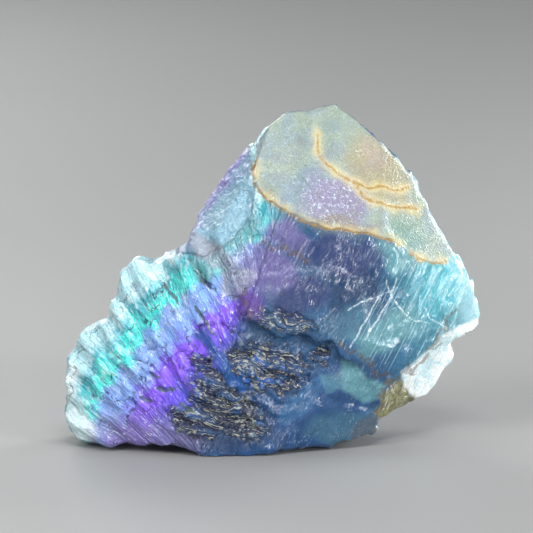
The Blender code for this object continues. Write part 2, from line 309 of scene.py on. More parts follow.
# Where the zones of the front lie, as outlines, ovals and paths in the front view.
zones = {
    "topFace": [(-3.4, 65.5), (-4.0, 58.8), (-0.9, 55.0), (5.2, 51.4), (11.3, 49.0), (18.7, 48.1),
                (24.8, 46.8), (28.5, 44.2), (31.5, 41.9), (37.0, 41.6), (40.0, 46.0), (32.0, 60.0),
                (20.0, 75.0), (2.0, 77.0)],
    "leftBevel": [(-4.0, 60.0), (-4.2, 52.0), (-9.0, 46.0), (-14.5, 43.0), (-20.0, 44.0),
                  (-20.0, 60.0), (-6.0, 70.0)],
    "rightFace": [(20.0, 44.0), (25.0, 40.0), (20.0, 30.0), (17.0, 22.0), (26.0, 19.0),
                  (35.0, 22.0), (44.0, 30.0), (44.0, 38.0), (37.0, 42.0), (30.0, 42.5)],
    "flange": [(43.6, 29.8), (42.1, 29.0), (38.9, 27.7), (36.3, 26.2), (33.6, 23.4), (30.4, 20.5),
               (27.4, 18.4), (27.8, 14.9), (29.6, 13.0), (33.0, 9.0), (48.0, 12.0), (48.0, 30.0)],
    "tealFacet": [(14.5, 21.2), (18.2, 19.8), (20.5, 16.9), (25.0, 16.1), (23.0, 12.4), (19.3, 11.6),
                  (14.5, 14.7)],
    "sideFacet": [(9.7, 17.8), (14.5, 18.0), (14.5, 14.7), (11.4, 13.5)],
    "blueFacet": [(1.0, 7.9), (2.4, 11.8), (7.5, 16.4), (10.6, 17.8), (11.4, 15.2), (7.5, 9.6),
                  (2.9, 6.8)],
    "wedge": [(22.0, 5.0), (22.9, 12.0), (25.5, 16.9), (27.6, 16.6), (29.6, 13.0), (33.0, 9.0),
              (28.0, 3.0)],
}

# Ovals of broken ledges: middle, reach along and across, turn.
hackles = [
    ((-1.0, 19.0), (11.5, 6.4), -6.0), ((-9.5, 11.0), (12.0, 6.8), -38.0),
    ((2.0, 29.2), (9.0, 2.8), -12.0), ((10.2, 22.0), (2.6, 2.6), 0.0),
    ((-17.0, 7.5), (7.0, 3.4), -25.0), ((-14.0, 19.0), (5.0, 3.0), -40.0),
]
hackleGaps = [((-8.8, 17.3), (7.0, 2.2), -50.0), ((0.7, 11.3), (6.5, 1.8), -60.0)]

# Paths of the iron stains, strong and faint.
stains = [
    [(-3.6, 63.5), (-4.1, 61.0), (-3.9, 58.6), (-2.9, 56.6), (-0.9, 55.1), (2.0, 53.2), (5.2, 51.3),
     (8.6, 49.6), (11.6, 48.9), (15.0, 48.6), (18.7, 48.0), (22.0, 47.6), (24.8, 46.5), (27.0, 45.4)],
    [(29.5, 43.6), (31.5, 42.2), (34.0, 41.6), (37.0, 41.7)],
    [(9.4, 69.0), (9.5, 66.2), (10.3, 64.0), (11.6, 62.4), (14.4, 60.3), (17.4, 58.4), (19.3, 55.9),
     (21.5, 54.6), (25.5, 53.6), (30.9, 53.0)],
    [(17.4, 58.8), (20.0, 57.6), (22.9, 57.8), (26.0, 57.0), (29.0, 57.6)],
]
faintStains = [
    [(-2.0, 46.0), (1.0, 44.6), (3.5, 44.4), (8.0, 42.0)],
    [(-6.2, 35.5), (-5.8, 32.0), (-4.4, 30.0)],
    [(14.5, 24.0), (17.0, 22.6), (19.6, 21.8), (22.0, 18.2), (24.6, 17.4)],
    [(38.6, 32.0), (37.0, 28.4), (34.0, 23.0), (30.0, 18.8), (27.0, 17.6)],
    [(22.7, 9.6), (23.8, 14.7), (25.5, 16.9)],
]

# Long pale lines across the right face.
scratches = [
    [(15.9, 31.6), (20.5, 33.8), (25.0, 35.3), (26.7, 36.4)],
    [(24.5, 40.1), (24.3, 37.3), (25.6, 33.9), (27.8, 31.1), (30.6, 29.1), (33.5, 28.8)],
    [(19.6, 25.1), (22.7, 29.9), (25.5, 34.7), (26.4, 38.4)],
    [(32.3, 32.2), (33.5, 29.9), (36.6, 28.0)],
    [(16.5, 23.5), (19.5, 28.8), (22.6, 34.2)],
]

# Open cracks, and long slots left where a column broke out.
cracks = [
    [(-24.6, 38.5), (-21.5, 32.0), (-18.5, 27.0), (-15.0, 21.5)],
    [(-17.5, 42.0), (-13.5, 37.0), (-9.5, 33.0)],
    [(-29.0, 31.0), (-25.0, 27.0), (-21.5, 22.0), (-19.5, 19.0)],
    [(-33.0, 21.5), (-30.0, 19.5), (-25.0, 14.0), (-22.0, 9.0)],
    [(-36.0, 14.5), (-33.0, 12.0), (-29.5, 9.5)],
    [(-12.0, 30.5), (-8.0, 27.5), (-5.2, 26.5)],
    [(-16.0, 24.0), (-18.0, 21.0), (-16.5, 19.0)],
    [(-41.6, 22.5), (-42.6, 18.0), (-43.6, 11.0)],
    [(-11.0, 42.0), (-8.0, 40.0), (-7.5, 36.5), (-5.0, 35.5)],
    [(7.4, 17.5), (8.6, 14.0), (10.5, 11.0)],
    [(-29.4, 20.4), (-27.1, 21.0), (-25.2, 19.0), (-23.4, 18.5), (-22.9, 20.4), (-20.1, 21.7),
     (-19.2, 23.1), (-17.3, 25.5), (-17.8, 26.4), (-15.0, 27.8), (-12.7, 26.4), (-10.8, 24.5)],
    [(-35.1, 16.2), (-33.6, 17.5), (-31.3, 16.6), (-29.9, 13.9), (-29.0, 11.9), (-29.9, 10.1),
     (-31.3, 8.2)],
    [(-26.2, 23.6), (-24.5, 22.8), (-23.1, 23.7)],
    [(-15.0, 27.8), (-13.6, 28.8), (-9.8, 27.8), (-6.6, 25.9), (-4.7, 28.8), (-6.1, 31.1)],
]
slots = [  # middle, reach, turn
    ((-21.5, 35.0), (4.4, 0.65), -53.0), ((-14.4, 29.2), (6.2, 0.7), -54.0),
    ((-22.7, 14.6), (3.2, 0.8), -3.0), ((-25.2, 17.5), (2.2, 0.6), -20.0),
    ((-18.3, 10.7), (2.8, 0.8), -35.0), ((-27.1, 12.5), (2.6, 0.7), -20.0),
    ((-15.5, 38.6), (3.0, 0.6), -50.0),
]


def jagged(seen, size, reach):  # the places moved about in zigzags, so that a path isn't smooth
    def zigzag(value):
        return np.abs(value % 2.0 - 1.0) * 2.0 - 1.0
    x, y = seen[:, 0] / size, seen[:, 1] / size
    shiftX = zigzag(x * 0.31 + y * 1.07 + 0.2) + 0.6 * zigzag(x * 1.9 - y * 1.3 + 0.7)
    shiftY = zigzag(y * 0.37 - x * 1.13 + 0.5) + 0.6 * zigzag(x * 1.4 + y * 2.1 + 0.1)
    return seen + reach * np.stack([shiftX, shiftY], axis=1)


def nearestPath(seen, paths):
    gaps = [pathDistance(seen, path) for path in paths]
    return np.minimum.reduce(gaps)


def ovalShare(seen, ovals):
    shares = [blobShare(seen, *oval) for oval in ovals]
    return np.maximum.reduce(shares)


# How far the places are moved about before each kind of zone is read: zigzag size and reach, in mm.
zigzags = {
    "rough": (2.2, 0.55), "uneven": (3.0, 0.12), "top": (3.0, 0.25), "slot": (1.6, 0.2),
    "stain": (3.6, 0.16), "scratch": (2.6, 0.12), "loose": (6.0, 0.8),
}
farAway = 9.0  # mm, added to the distance from any path on the sides that face away


def markZones(piece):  # stores where each kind of surface lies, for the relief and for the colours
    places, normals = meshArrays(piece.data)
    seen = frontView(places)
    moved = {name: jagged(seen, *sizes) for name, sizes in zigzags.items()}
    facing = -normals[:, 1]
    front = smoothStep(0.0, 0.45, facing)
    hidden = farAway * (1.0 - front)
    arm = 1.0 - smoothStep(-14.0, -6.0, places[:, 0] - 0.33 * (places[:, 2] - 20.0))
    top = softInside(moved["top"], zones["topFace"], 0.5) * smoothStep(-0.1, 0.2, facing)
    bevel = softInside(seen, zones["leftBevel"], 1.2) * (1.0 - top) * smoothStep(-0.5, 0.0, facing)
    hackle = ovalShare(moved["rough"], hackles) * (1.0 - ovalShare(moved["rough"], hackleGaps))
    marks = {
        "arm": arm, "front": front, "top": top, "bevel": bevel,
        "right": softInside(seen, zones["rightFace"], 2.5) * front * (1.0 - top),
        "hackle": hackle * front * (1.0 - top),
        "flange": softInside(seen, zones["flange"], 0.4),
        "wedge": softInside(moved["rough"], zones["wedge"], 0.6) * smoothStep(-0.2, 0.1, facing),
        "tealFacet": softInside(moved["uneven"], zones["tealFacet"], 1.1) * front,
        "sideFacet": softInside(moved["uneven"], zones["sideFacet"], 0.9) * front,
        "blueFacet": softInside(moved["uneven"], zones["blueFacet"], 0.4) * front,
        "slot": ovalShare(moved["slot"], slots) * front,
        "crackGap": nearestPath(moved["rough"], cracks) + hidden,
        "stainGap": nearestPath(moved["stain"], stains) + hidden,
        "faintGap": nearestPath(moved["rough"], faintStains) + hidden,
        "scratchGap": nearestPath(moved["scratch"], scratches) + hidden,
    }
    for name, (_, ovals) in (*patches.items(), *latePatches.items(), *topPatches.items()):
        marks[name] = ovalShare(moved["loose"], ovals) * front
    for name, values in marks.items():
        layer = piece.data.attributes.new(name, "FLOAT", "POINT")
        layer.data.foreach_set("value", values.astype(np.float32))
    print("zones marked on", len(places), "points")
    return piece


def directedPlace(tree, name):  # a stored directed place, for a material
    return out(addNode(tree, "ShaderNodeAttribute", attribute_name=name), "Vector")


def marked(tree, name):  # a stored zone as a Wire, in a relief tree or in a material
    if tree.bl_idname == "GeometryNodeTree":
        node = addNode(tree, "GeometryNodeInputNamedAttribute", {"Name": name}, data_type="FLOAT")
        return out(node, "Attribute")
    return out(addNode(tree, "ShaderNodeAttribute", attribute_name=name), "Fac")


# The relief. Directed places are (across, depth, along) a direction, so facets can be long along it.
def fanned(place):  # along the ribs, which fan out from the rib centre
    x, y, z = splitXyz(place)
    across, up = x - rock["ribCentre"][0], z - rock["ribCentre"][1]
    radius = (across * across + up * up).maths("SQRT")
    return joinXyz(place.tree, up.maths("ARCTAN2", across) * directions["fanSpread"], y, radius)


def turned(place, direction):  # along one direction of the front view
    x, y, z = splitXyz(place)
    a = math.radians(directions[direction])
    return joinXyz(place.tree, z * math.cos(a) - x * math.sin(a), y, x * math.cos(a) + z * math.sin(a))


def switched(first, second, share, limit):  # the second vector where the share is over the limit
    over = share.maths("GREATER_THAN", limit)
    return vectorMaths("ADD", scaled(first, 1.0 - over), scaled(second, over))


def facetHeights(directed, width, length, rise, depth=None):  # leaning facets, height in millimetres
    tree = directed.tree
    size = joinXyz(tree, width, width if depth is None else depth, length)
    cell = vectorMaths("DIVIDE", directed, size)
    chance, middle = cellsOf(cell)
    lean = vectorMaths("SUBTRACT", chance, (0.5, 0.5, 0.5))
    return vectorMaths("DOT_PRODUCT", lean, vectorMaths("SUBTRACT", cell, middle), "Value") * rise * 2.0


def rowPlaces(directed, width, length, ragged):  # which row and block, and how far through each
    tree = directed.tree
    across, _, along = splitXyz(directed)
    row = across / width
    index = row.maths("FLOOR")
    ownLength = (randomOf(tree, index, 8.5) * 0.8 + 0.6) * length
    level = (along + ragged) / ownLength + randomOf(tree, index, 3.5) * 9.0
    return index, level.maths("FLOOR"), row.maths("FRACT"), level.maths("FRACT")


def rowHeights(directed, width, length, rise, ragged):  # rows of blocks, height in millimetres
    tree = directed.tree
    index, block, through, along = rowPlaces(directed, width, length, ragged)
    crest = randomOf(tree, index, 2.5) * 0.6 + 0.2
    roof = (through / crest).maths("MINIMUM", (1.0 - through) / (1.0 - crest))
    step = randomOf(tree, index, block) - 0.5
    lean = (0.5 - along) * (randomOf(tree, index, block + 0.5) + 0.3)
    return (roof * 0.5 + step * 1.3 + lean * 1.2) * rise


def shares(tree):  # how much of each kind of relief a point has
    arm, front, top = marked(tree, "arm"), marked(tree, "front"), marked(tree, "top")
    bevel, hackle = marked(tree, "bevel"), marked(tree, "hackle")
    left = (1.0 - top) * (1.0 - bevel) * (1.0 - hackle)
    return {
        "top": top, "bevel": bevel, "hackle": hackle, "arm": left * arm * (front * 0.6 + 0.4),
        "panel": left * front * (1.0 - arm), "side": left * (1.0 - front) * (1.0 - arm * 0.4),
    }


def stored(tree, geometry, name, value, kind="FLOAT"):  # the geometry with one more point attribute
    node = addNode(tree, "GeometryNodeStoreNamedAttribute",
                   {"Geometry": geometry, "Name": name, "Value": value}, data_type=kind, domain="POINT")
    return out(node)


def blurred(tree, value, rounds):
    node = addNode(tree, "GeometryNodeBlurAttribute", {"Value": value, "Iterations": rounds},
                   data_type="FLOAT")
    return out(node)


def askedSizes(tree):  # the tree's named inputs
    tree.interface.new_socket("Geometry", in_out="INPUT", socket_type="NodeSocketGeometry")
    for name, size in reliefSizes.items():
        kind = "NodeSocketInt" if name in wholeSizes else "NodeSocketFloat"
        tree.interface.new_socket(name, in_out="INPUT", socket_type=kind).default_value = size
    tree.interface.new_socket("Material", in_out="INPUT", socket_type="NodeSocketMaterial")
    tree.interface.new_socket("Geometry", in_out="OUTPUT", socket_type="NodeSocketGeometry")
    start = tree.nodes.new("NodeGroupInput")
    return start, {name: out(start, name) for name in reliefSizes}


def directedPlaces(place, seed):
    tree = place.tree
    seeded = joinXyz(tree, seed * 13.0, seed * 7.0, seed * 11.0)
    bent = stirred(place, directions["bend"])
    panel = turned(stirred(place, directions["panelBend"]), "panel")
    ledge = turned(stirred(place, directions["ledgeBend"]), "ledge")
    return {
        "fan": vectorMaths("ADD", fanned(bent), seeded),
        "panel": vectorMaths("ADD", panel, seeded),
        "ledge": vectorMaths("ADD", ledge, seeded),
        "chips": vectorMaths("ADD", bent, seeded),
    }


def hairPlace(place, along, share):  # where the fine lines are read, stretched along each zone
    lines = vectorMaths("MULTIPLY", along["panel"], directions["panelLines"])
    ribs = vectorMaths("MULTIPLY", along["fan"], directions["armLines"])
    rows = vectorMaths("MULTIPLY", along["ledge"], directions["ledgeLines"])
    lines = switched(lines, ribs, share["arm"], 0.3)
    lines = switched(lines, rows, share["hackle"], 0.3)
    return switched(lines, scaled(place, directions["skinLines"]), share["top"] + share["bevel"], 0.5)


def reliefHeight(place, along, share, ask, ragged):  # in millimetres
    def rows(way, name):
        return rowHeights(along[way], ask[name + "Width"], ask[name + "Length"], ask[name + "Rise"], ragged)

    def lumps(name):
        return facetHeights(along["chips"], ask[name + "Size"], ask[name + "Size"], ask[name + "Rise"])
    tree = place.tree
    panels = facetHeights(along["panel"], ask["panelWidth"], ask["panelLength"], ask["panelRise"],
                          directions["panelDepth"])
    height = (rows("fan", "column") + rows("fan", "needle")) * share["arm"]
    height = height + rows("ledge", "ledge") * share["hackle"] + panels * share["panel"]
    height = height + lumps("chip") * share["side"] + lumps("scale") * share["bevel"]
    grain = (noiseOf(place, 0.9, 3.0) - 0.5) * ask["grain"] * (2.0 - share["top"])
    gap = marked(tree, "crackGap") + (noiseOf(place, 1.2, 2.0) - 0.5) * 0.4
    crack = 1.0 - gap.step(0.05, 0.6)
    height = height + grain - crack.maths("MAXIMUM", marked(tree, "slot")) * ask["crackDepth"]
    return blurred(tree, height, ask["softening"])


def reliefTree():
    tree = bpy.data.node_groups.new("rockRelief", "GeometryNodeTree")
    start, ask = askedSizes(tree)
    share = shares(tree)
    position = out(tree.nodes.new("GeometryNodeInputPosition"))
    calmed = addNode(tree, "GeometryNodeBlurAttribute",
                     {"Value": position, "Iterations": ask["armSoftening"], "Weight": share["arm"] * 0.8},
                     data_type="FLOAT_VECTOR")
    softened = addNode(tree, "GeometryNodeSetPosition",
                       {"Geometry": out(start, "Geometry"), "Position": out(calmed)})
    place = scaled(position, 1.0 / mm)
    along = directedPlaces(place, ask["seed"])
    ragged = (noiseOf(place, 0.6, 3.0) - 0.5) * directions["raggedEnds"]
    toneScale, clusterScale = directions["slowNoise"]
    slow = joinXyz(tree, noiseOf(place, toneScale, 1.0), noiseOf(place, clusterScale, 1.0), ragged)
    kept = out(softened)
    for name in ("fan", "panel", "ledge"):
        kept = stored(tree, kept, name + "Place", along[name], "FLOAT_VECTOR")
    kept = stored(tree, kept, "linePlace", hairPlace(place, along, share), "FLOAT_VECTOR")
    kept = stored(tree, kept, "slowNoise", slow, "FLOAT_VECTOR")
    kept = stored(tree, kept, "relief", reliefHeight(place, along, share, ask, ragged))
    relief = marked(tree, "relief")
    normal = out(tree.nodes.new("GeometryNodeInputNormal"))
    raised = vectorMaths("ADD", scaled(place, mm), scaled(normal, relief * mm))
    onFloor = vectorMaths("MAXIMUM", raised, (-1.0, -1.0, 0.0))  # nothing reaches below the floor
    moved = out(addNode(tree, "GeometryNodeSetPosition", {"Geometry": kept, "Position": onFloor}))
    hollow = stored(tree, moved, "cavity", blurred(tree, relief, ask["cavityReach"]) - relief)
    real = addNode(tree, "GeometryNodeRealizeInstances", {"Geometry": hollow})
    painted = addNode(tree, "GeometryNodeSetMaterial",
                      {"Geometry": out(real), "Material": out(start, "Material")})
    end = tree.nodes.new("NodeGroupOutput")
    feed(tree, out(painted), end.inputs["Geometry"])
    return tree


def giveRelief(piece, material):
    tree = reliefTree()
    modifier = piece.modifiers.new("relief", "NODES")
    modifier.node_group = tree
    sockets = {item.name: item.identifier for item in tree.interface.items_tree if item.in_out == "INPUT"}
    for name, size in reliefSizes.items():
        modifier[sockets[name]] = size
    modifier[sockets["Material"]] = material
    bakeModifiers(piece)
    piece.data.shade_smooth()
    piece.data.set_sharp_from_angle(angle=math.radians(rock["sharpAngle"]))
    print("relief given:", len(piece.data.polygons), "faces")
    return piece


# Colours of the stone
def colour(red, green, blue):  # from everyday 0 to 255 values to the linear ones of a shader
    def linear(value):
        value /= 255.0
        return value / 12.92 if value <= 0.04045 else ((value + 0.055) / 1.055) ** 2.4
    return (linear(red), linear(green), linear(blue), 1.0)


tints = {
    "ice": (176, 220, 230), "aqua": (78, 174, 188), "turquoise": (70, 224, 218),
    # bright is the near white of the flange's painted glow
    "glint": (80, 246, 232), "white": (226, 242, 246), "bright": (250, 255, 255),
    "teal": (78, 150, 164), "tealGrey": (104, 156, 164), "seaBlue": (54, 104, 148),
    "greyBlue": (66, 108, 134), "steel": (50, 92, 130), "deepBlue": (32, 74, 122),
    "navy": (26, 54, 92), "ink": (24, 32, 60), "indigo": (48, 60, 108),
    "royal": (46, 96, 184), "brightBlue": (30, 86, 156), "haze": (134, 176, 196),
    "violetBlue": (100, 88, 224), "violet": (134, 90, 238), "lavender": (132, 168, 232),
    "lilac": (112, 102, 156), "edgeLilac": (136, 132, 190), "plum": (104, 70, 150),
    "dusk": (122, 114, 158), "slate": (84, 92, 104), "slotGrey": (70, 92, 100),
    "smoke": (152, 156, 170), "silverHighlight": (180, 182, 166), "olive": (136, 136, 94),
    "bark": (92, 80, 62), "rust": (112, 70, 38), "amber": (166, 130, 56),
    "gold": (224, 206, 152), "paleGreen": (150, 164, 152), "paleBlue": (128, 148, 164),
    "paleLilac": (140, 128, 166), "paleAqua": (112, 146, 136), "cream": (164, 152, 118),
    "blush": (172, 158, 146), "umber": (142, 130, 122),
}

# Growth bands of the arm: radius from the growth centre in mm, tint.
armBands = [
    (56.0, "deepBlue"), (64.0, "navy"), (70.0, "royal"), (74.0, "violetBlue"), (77.5, "violet"),
    (80.5, "violet"), (83.0, "lavender"), (87.0, "lavender"), (89.0, "turquoise"), (91.0, "aqua"),
    (92.5, "aqua"), (95.0, "ice"),
]
# Tints of the ledges, by each block's own chance.
ledgeBands = [(0.0, "ink"), (0.4, "ink"), (0.6, "navy"), (0.8, "deepBlue"), (1.0, "royal")]

# Patches of colour in the front view, in the order in which they are laid: tint, then ovals of
# middle, reach, turn. The late ones lie over the bevel, and the top ones only on the top face.
patches = {
    "patchTealGrey": ("tealGrey", [((-9.0, 49.0), (8.0, 9.0), 0.0), ((24.0, 27.0), (11.0, 6.0), 20.0),
                                   ((-14.5, 40.0), (4.5, 3.0), -35.0), ((26.0, 43.0), (6.0, 4.0), -20.0)]),
    "patchLilac": ("lilac", [((-1.0, 40.5), (10.0, 7.5), -20.0), ((3.0, 47.0), (8.0, 4.0), -30.0)]),
    "patchDeep": ("navy", [((17.5, 36.0), (9.0, 8.0), 0.0), ((-4.0, 22.0), (9.0, 5.0), 0.0)]),
    "patchIndigo": ("indigo", [((14.0, 43.5), (13.0, 6.0), -8.0), ((6.0, 34.0), (8.0, 6.0), 30.0)]),
    "patchNavy": ("navy", [((-10.0, 6.0), (13.0, 6.5), 0.0)]),
    "patchRoyal": ("brightBlue", [((-8.8, 17.3), (8.0, 2.6), -50.0), ((-13.0, 24.0), (6.0, 2.4), -50.0)]),
    "patchGreyBlue": ("greyBlue", [((16.0, 6.5), (13.0, 5.0), 8.0), ((17.0, 29.0), (8.0, 5.0), 30.0)]),
    # painted glow: the thin lower-left end of the arm nearly white, as light through it would make it
    "patchGlowWhite": ("white", [((-42.0, 6.5), (6.0, 7.5), 0.0), ((-44.0, 15.0), (3.5, 8.0), 0.0)]),
}
latePatches = {
    "patchSmoke": ("smoke", [((-13.0, 43.5), (8.0, 3.6), -38.0), ((-8.0, 38.0), (4.5, 4.5), -40.0)]),
    "patchSlate": ("slate", [((20.5, 5.5), (5.5, 4.5), 40.0)]),
    "patchPlum": ("plum", [((-4.4, 31.8), (4.2, 4.8), 0.0)]),
}
topPatches = {
    "topHaze": ("paleBlue", [((6.5, 57.5), (9.0, 5.0), 30.0)]),
    "topLilac": ("paleLilac", [((13.5, 55.0), (10.0, 7.0), -20.0)]),
    "topCream": ("cream", [((23.0, 60.5), (7.0, 13.0), 38.0)]),
    "topBlush": ("blush", [((21.0, 64.5), (4.5, 3.0), -40.0)]),
    "topUmber": ("umber", [((15.5, 49.6), (11.0, 2.4), -8.0)]),
    "topAqua": ("paleAqua", [((29.0, 47.5), (6.0, 4.5), -40.0)]),
}

facets = [("blueFacet", "seaBlue", 0.7), ("sideFacet", "tealGrey", 0.4), ("tealFacet", "tealGrey", 0.8)]

stone = {
    "roughness": (0.1, 0.27),
    "topRoughness": 0.16,  # more on the top face, and on the bevel
    "bevelRoughness": 0.14,
    "transmission": 0.14,
    "refraction": 1.434,
    "subsurface": 0.5,
    "glowDepth": 0.8,  # mm
    "polish": 0.35,
    "polishRoughness": 0.1,
    "absorption": (0.62, 0.78, 0.96),
    "absorptionDensity": 10.0,
}

# What is drawn on the stone. A pair is where a mark starts to fade and where it ends, in mm or in
# the measure of its noise, and a share is how strongly its tint covers what lies under it.
paint = {
    "bandJitter": (1.8, 1.4, 6.0, 3.0),  # mm, by rib, by block, and by slow and small noise
    "bandRange": (56.0, 97.0),
    "glintRadius": 90.0,
    "glintFade": (0.8, 2.6),
    "iceStreak": 0.5,
    "deepToSteel": (6.0, 36.0),  # mm of height
    "rightward": (20.0, 34.0),  # mm across, where the block turns teal, turquoise and then pale, the pale edge a painted glow
    "turquoiseAcross": (23.0, 37.0),
    "turquoiseUp": (22.0, 33.0),
    "paintedGlowEdge": (35.0, 43.0),
    "duskUp": (5.0, 11.0),
    "patchShare": 0.85,
    "lateShare": 0.8,
    "crestHighlightLine": (0.003, 0.02),
    "darkLine": (0.003, 0.018),
    "darkLevel": 0.43,  # the level of the hair noise that the dark lines follow
    "crack": (0.04, 0.28),
    "slot": (0.4, 0.6),
    "scratch": (0.05, 0.26),
    "stripeWaves": 8.6,
    "stripe": 0.45,
    "halo": (0.0, 1.9),
    "core": (0.0, 0.45),
    "faint": (0.1, 0.8),
}


def ramp(wire, stops, low, high):  # colours at places between low and high along the wire's value
    node = addNode(wire.tree, "ShaderNodeValToRGB", {0: ranged(wire, low, high, 0.0, 1.0)})
    band = node.color_ramp
    while len(band.elements) < len(stops):
        band.elements.new(0.5)
    for element, (place, tint) in zip(band.elements, stops):
        element.position = (place - low) / (high - low)
        element.color = colour(*tints[tint])
    return out(node)


def mixed(first, second, share, kind="MIX"):
    tree = share.tree
    node = addNode(tree, "ShaderNodeMix", data_type="RGBA", blend_type=kind)
    feed(tree, share, node.inputs[0])
    feed(tree, first, node.inputs[6])
    feed(tree, second, node.inputs[7])
    return out(node, 2)


def tinted(name):
    return colour(*tints[name])


def shaded(tone, factor):  # the colour times a brightness
    grey = out(addNode(factor.tree, "ShaderNodeCombineColor", {0: factor, 1: factor, 2: factor}))
    return mixed(tone, grey, factor * 0.0 + 1.0, "MULTIPLY")


def spread(wire, width):  # noise from 0 to 1, moved to lie round 0 over this width
    return (wire - 0.5) * width


class StoneFields:  # what the parts of the colour and of the fine relief have in common
    def __init__(self, tree):
        self.tree = tree
        self.place = scaled(out(addNode(tree, "ShaderNodeTexCoord"), "Object"), 1.0 / mm)
        self.x, _, self.z = splitXyz(self.place)
        self.fan = directedPlace(tree, "fanPlace")
        self.panel = directedPlace(tree, "panelPlace")
        self.ledge = directedPlace(tree, "ledgePlace")
        self.medium, self.cluster, self.ragged = splitXyz(directedPlace(tree, "slowNoise"))
        self.small = noiseOf(self.place, 1.3, 2.0)
        self.fine = noiseOf(self.place, 3.0, 1.0)
        self.hairs = noiseOf(directedPlace(tree, "linePlace"), 1.0, 3.0)
        self.ridge = (self.hairs - 0.5).maths("ABSOLUTE")  # 0 on winding crest lines
        self.share = shares(tree)
        self.top, self.bevel, self.hackle = self.mark("top"), self.mark("bevel"), self.mark("hackle")
        self.arm = self.mark("arm") * (1.0 - self.top) * (1.0 - self.bevel)
        size = reliefSizes
        columns = rowPlaces(self.fan, size["columnWidth"], size["columnLength"], self.ragged)
        self.rib, self.block, self.through, self.along = columns
        self.blockChance = randomOf(tree, self.rib, self.block)
        panelSize = (size["panelWidth"], directions["panelDepth"], size["panelLength"])
        panelCell = cellsOf(vectorMaths("DIVIDE", self.panel, panelSize))[0]
        cellChance, self.panelChance, _ = splitXyz(panelCell)
        self.shift = spread(cellChance, 0.2) + spread(self.medium, 0.6) + spread(self.small, 0.4)

    def mark(self, name):
        return marked(self.tree, name)


def armTone(s):  # growth bands, jagged from column to column, with glints and with painted shading of the columns
    across, up = s.x - rock["growthCentre"][0], s.z - rock["growthCentre"][1]
    radius = (across * across + up * up).maths("SQRT")
    byRib, byBlock, byMedium, bySmall = paint["bandJitter"]
    jag = spread(randomOf(s.tree, s.rib, 5.5), byRib) + spread(s.blockChance, byBlock)
    jag = jag + spread(s.medium, byMedium) + spread(s.small, bySmall)
    tone = ramp(radius + jag, armBands, *paint["bandRange"])
    streak = stretchedNoise(s.fan, (1.1, 0.3, 0.3), 3.0)
    glint = 1.0 - (radius + jag - paint["glintRadius"]).maths("ABSOLUTE").step(*paint["glintFade"])
    glint = glint * streak.step(0.44, 0.56) * s.cluster.step(0.42, 0.5) * (1.0 - s.z.step(36.0, 44.0))
    tone = mixed(tone, tinted("glint"), glint)
    icy = streak.step(0.54, 0.66) * radius.step(82.0, 90.0) * paint["iceStreak"]
    tone = mixed(tone, tinted("white"), icy)
    # painted shading: each block of a column a random shade lighter or darker, and each column shaded from
    # one side across to the other
    return shaded(tone, (s.blockChance * 0.36 + 0.82) * (s.through * 0.16 + 0.92))


def blockTone(s):  # blue with patches and painted shading of its panels, turning turquoise and then pale towards the right edge, where the paleness is a painted glow
    across, up = s.x + s.shift * 8.0, s.z + s.shift * 8.0
    bright = across.step(*paint["turquoiseAcross"]) * up.step(*paint["turquoiseUp"])
    tone = mixed(tinted("deepBlue"), tinted("steel"), (s.z + s.shift * 16.0).step(*paint["deepToSteel"]))
    tone = mixed(tone, tinted("teal"), across.step(*paint["rightward"]) * 0.6)
    # painted shading: each panel of the block a random shade lighter or darker, as lit facets
    tone = shaded(mixed(tone, tinted("aqua"), bright), s.panelChance * 0.2 + 0.88)
    tone = mixed(tone, armTone(s), s.arm + s.shift * 0.6 * s.arm * (1.0 - s.arm) * 4.0)
    for name, (tint, _) in patches.items():
        there = (s.mark(name) + s.shift * 0.6).step(0.05, 0.95)
        tone = mixed(tone, tinted(tint), there * paint["patchShare"])
    behind = 1.0 - s.mark("front")
    tone = mixed(tone, tinted("lilac"), s.cluster.step(0.44, 0.6) * behind * (1.0 - s.arm) * 0.5)
    # painted glow: the block paled towards ice at its thin right edge, as light through it would make it
    edge = (s.x + spread(s.medium, 8.0)).step(*paint["paintedGlowEdge"])
    tone = mixed(tone, tinted("ice"), edge * 0.9)
    shine = stretchedNoise(s.panel, (0.9, 0.5, 0.22), 3.0).step(0.5, 0.62)
    tone = mixed(tone, tinted("white"), shine * bright * (1.0 - s.arm) * 0.3)
    raised = (s.z + spread(s.medium, 6.0)).step(*paint["duskUp"])
    low = s.arm * (1.0 - raised) * (s.x + 40.0).step(-1.0, 7.0)
    return mixed(tone, tinted("dusk"), low * 0.8)


def topTone(s):
    haze = (s.medium + s.small * 0.3 - 0.15).step(0.4, 0.6)
    tone = mixed(tinted("paleGreen"), tinted("paleBlue"), haze * 0.5)
    for name, (tint, _) in topPatches.items():
        tone = mixed(tone, tinted(tint), (s.mark(name) + s.shift * 1.2).step(0.0, 1.0) * 0.8)
    sparkle = (s.fine * 0.5 + s.small * 0.5).step(0.55, 0.66) * (s.mark("topLilac") * 0.2 + 0.12)
    return mixed(tone, tinted("white"), sparkle)


def layZones(s, tone):  # the bevel, the top, the facets, the flange with its painted glow, and the wedge
    inward = ((s.x + 16.4) * 0.8 - (s.z - 50.2) * 0.6 + spread(s.medium, 5.0)).step(0.5, 4.5)
    tone = mixed(tone, mixed(tinted("edgeLilac"), tinted("haze"), inward), s.bevel)
    for name, (tint, _) in latePatches.items():
        there = (s.mark(name) + s.shift * 0.8).step(0.05, 0.85)
        tone = mixed(tone, tinted(tint), there * paint["lateShare"])
    tone = mixed(tone, topTone(s), s.top)
    for name, tint, strength in facets:
        tone = mixed(tone, tinted(tint), (s.mark(name) + s.shift * 0.7).step(0.1, 1.0) * strength)
    # painted glow: the thin flange nearly white, with patches of ice, as light through it would make it
    icy = (s.small * 0.5 + s.medium * 0.5).step(0.48, 0.58) * 0.6
    tone = mixed(tone, mixed(tinted("bright"), tinted("ice"), icy), s.mark("flange"))
    brown = (s.small + s.shift * 0.5).step(0.42, 0.6) * 0.7
    return mixed(tone, mixed(tinted("olive"), tinted("bark"), brown), s.mark("wedge"))


